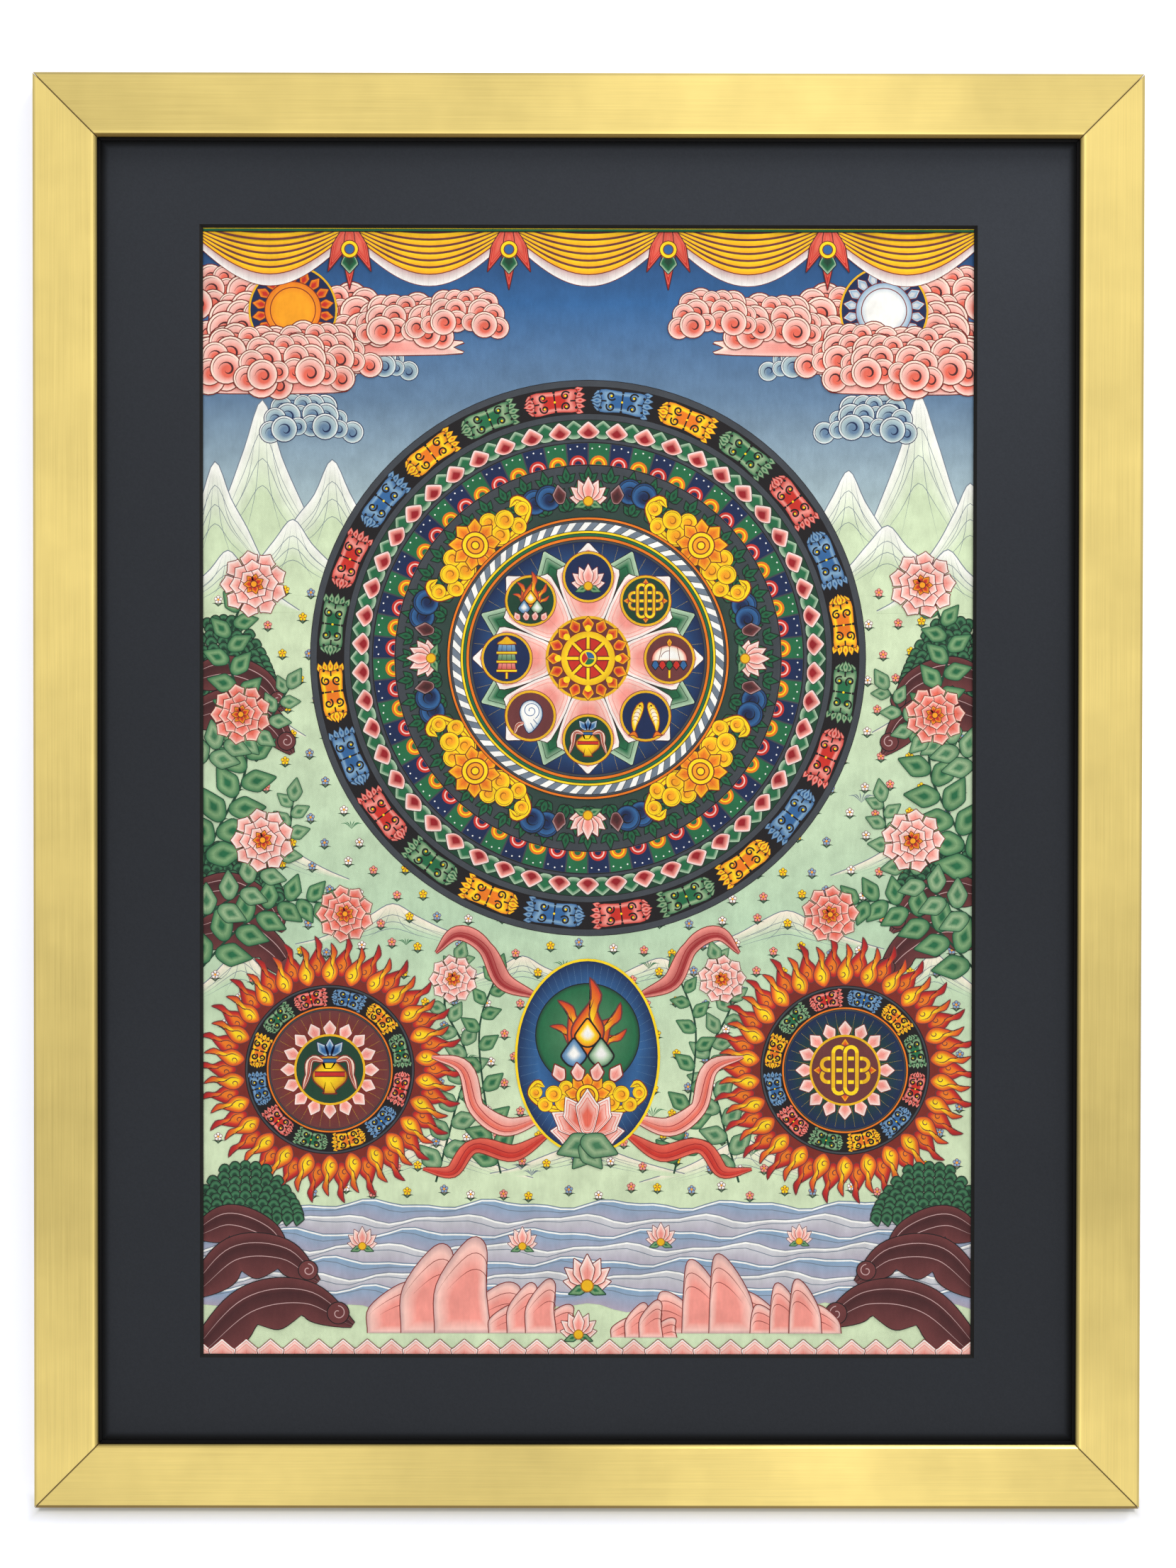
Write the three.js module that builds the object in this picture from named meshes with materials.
// A painted cloth in a picture frame: four mitred gold rails, a black slip under their lip,
// a window mat, the cloth behind it and a backing board.
// Millimetres, +Z up. The picture faces -Y and the wall that carries it is the plane y = 0.
// The origin is on the back of the top rail, midway along it.

import * as THREE from "three";

// Driving dimensions
const sightWidth = 450; // clear opening between the gold rails
const sightHeight = 600;
const railFace = 29.4; // width of the gold face
const railDepth = 22; // wall to gold face
const railChamfer = 1.5; // small flats along both edges of the gold face
const lipThickness = 4; // gold lip in front of the rebate
const rebateWidth = 8; // how far the lip covers what stands behind it
const slipReveal = 1.2; // black slip that shows inside the gold lip
const slipThickness = 2.5;
const windowWidth = 357.5; // opening of the mat, at its front face
const windowHeight = 522;
const matThickness = 1.5;
const clothMargin = 10; // cloth hidden behind the mat on each side
const clothThickness = 1;
const backingThickness = 3;
const partGap = 0.3; // between pieces that lie on each other
const edgePlay = 0.5; // between a board's edge and the rebate's wall

// Sizes that follow
const outerWidth = sightWidth + 2 * railFace;
const outerHeight = sightHeight + 2 * railFace;
const rebateInset = railFace - rebateWidth;
const rebateOpenWidth = outerWidth - 2 * rebateInset;
const rebateOpenHeight = outerHeight - 2 * rebateInset;
const boardWidth = rebateOpenWidth - 2 * edgePlay;
const boardHeight = rebateOpenHeight - 2 * edgePlay;
const clothWidth = windowWidth - 2 * matThickness + 2 * clothMargin;
const clothHeight = windowHeight - 2 * matThickness + 2 * clothMargin;
const frameCentreZ = rebateInset / 2 - outerHeight / 2;

// Heights above the wall at which each layer's front and back lie
const slipFront = railDepth - lipThickness - partGap;
const slipBack = slipFront - slipThickness;
const matFront = slipBack - partGap;
const matBack = matFront - matThickness;
const clothFront = matBack - partGap;
const clothBack = clothFront - clothThickness;
const backingFront = clothBack - partGap;
const backingBack = backingFront - backingThickness;

const finishes = {
  gold: { color: "#dcc07a", roughness: 0.38, metalness: 0.85 },
  black: { color: "#141314", roughness: 0.7, metalness: 0 },
  charcoal: { color: "#34373d", roughness: 0.9, metalness: 0 },
  pigment: { color: "#a9ab86", roughness: 0.9, metalness: 0 },
  hardboard: { color: "#7d6044", roughness: 0.85, metalness: 0 },
};

const frame = new THREE.Group();
frame.position.z = frameCentreZ;

function addPiece(name, geometry, finish, parent = frame) {
  const piece = new THREE.Mesh(geometry, new THREE.MeshStandardMaterial(finishes[finish]));
  piece.name = name;
  parent.add(piece);
  return piece;
}

// A section from points given as [inward from the outer edge, height above the wall]
function sectionFrom(points) {
  return new THREE.Shape(points.map(([inward, aboveWall]) => new THREE.Vector2(inward, -aboveWall)));
}

const railSection = sectionFrom([
  [0, 0],
  [rebateInset, 0],
  [rebateInset, railDepth - lipThickness],
  [railFace, railDepth - lipThickness],
  [railFace, railDepth - railChamfer],
  [railFace - railChamfer, railDepth],
  [railChamfer, railDepth],
  [0, railDepth - railChamfer],
]);

const slipSection = sectionFrom([
  [rebateInset + edgePlay, slipBack],
  [railFace + slipReveal, slipBack],
  [railFace + slipReveal, slipFront],
  [rebateInset + edgePlay, slipFront],
]);

// A straight strip whose ends are cut at 45 degrees, so that its length shrinks inward
function mitredStrip(section, outerLength) {
  const geometry = new THREE.ExtrudeGeometry(section, { depth: 1, bevelEnabled: false, steps: 1 });
  const position = geometry.attributes.position;
  const jointPlay = (partGap / 2) * Math.SQRT2;
  for (let i = 0; i < position.count; i += 1) {
    const side = position.getZ(i) > 0.5 ? 1 : -1;
    const reach = outerLength / 2 - position.getX(i) - jointPlay;
    position.setZ(i, side * reach);
  }
  geometry.computeVertexNormals();
  return geometry;
}

// The four sides of a rectangle: the turn about +Y that carries a side there from the left one
const sides = [
  { name: "left", turn: 0, edgeAt: outerWidth / 2, length: outerHeight },
  { name: "top", turn: Math.PI / 2, edgeAt: outerHeight / 2, length: outerWidth },
  { name: "right", turn: Math.PI, edgeAt: outerWidth / 2, length: outerHeight },
  { name: "bottom", turn: -Math.PI / 2, edgeAt: outerHeight / 2, length: outerWidth },
];

function addFourStrips(kind, section, finish) {
  for (const side of sides) {
    const holder = new THREE.Group();
    holder.rotation.y = side.turn;
    frame.add(holder);
    const strip = addPiece(`${kind}_${side.name}`, mitredStrip(section, side.length), finish, holder);
    strip.position.x = -side.edgeAt;
  }
}

// Four corners of an upright rectangle at one height above the wall
function rectangle(width, height, aboveWall) {
  const corners = [[-1, -1], [1, -1], [1, 1], [-1, 1]];
  return corners.map(([x, z]) => [(x * width) / 2, -aboveWall, (z * height) / 2]);
}

// A closed ring through rectangles that follow one another round its section
function ringOfRectangles(loops) {
  const points = loops.flat().flat();
  const triangles = [];
  for (let loop = 0; loop < loops.length; loop += 1) {
    const next = (loop + 1) % loops.length;
    for (let corner = 0; corner < 4; corner += 1) {
      const after = (corner + 1) % 4;
      const a = loop * 4 + corner;
      const b = loop * 4 + after;
      const c = next * 4 + after;
      const d = next * 4 + corner;
      triangles.push(a, b, c, a, c, d);
    }
  }
  const geometry = new THREE.BufferGeometry();
  geometry.setAttribute("position", new THREE.Float32BufferAttribute(points, 3));
  geometry.setIndex(triangles);
  geometry.computeVertexNormals();
  return geometry;
}

function board(width, height, front, back) {
  const geometry = new THREE.BoxGeometry(width, front - back, height);
  geometry.translate(0, -(front + back) / 2, 0);
  return geometry;
}

addFourStrips("rail", railSection, "gold");
addFourStrips("slip", slipSection, "black");

// The window's edge is cut at 45 degrees, so its back is smaller by the board's thickness all round
addPiece(
  "window_mat",
  ringOfRectangles([
    rectangle(boardWidth, boardHeight, matFront),
    rectangle(windowWidth, windowHeight, matFront),
    rectangle(windowWidth - 2 * matThickness, windowHeight - 2 * matThickness, matBack),
    rectangle(boardWidth, boardHeight, matBack),
  ]),
  "charcoal",
);
addPiece("painted_cloth", board(clothWidth, clothHeight, clothFront, clothBack), "pigment");
addPiece("backing_board", board(boardWidth, boardHeight, backingFront, backingBack), "hardboard");

export default frame;
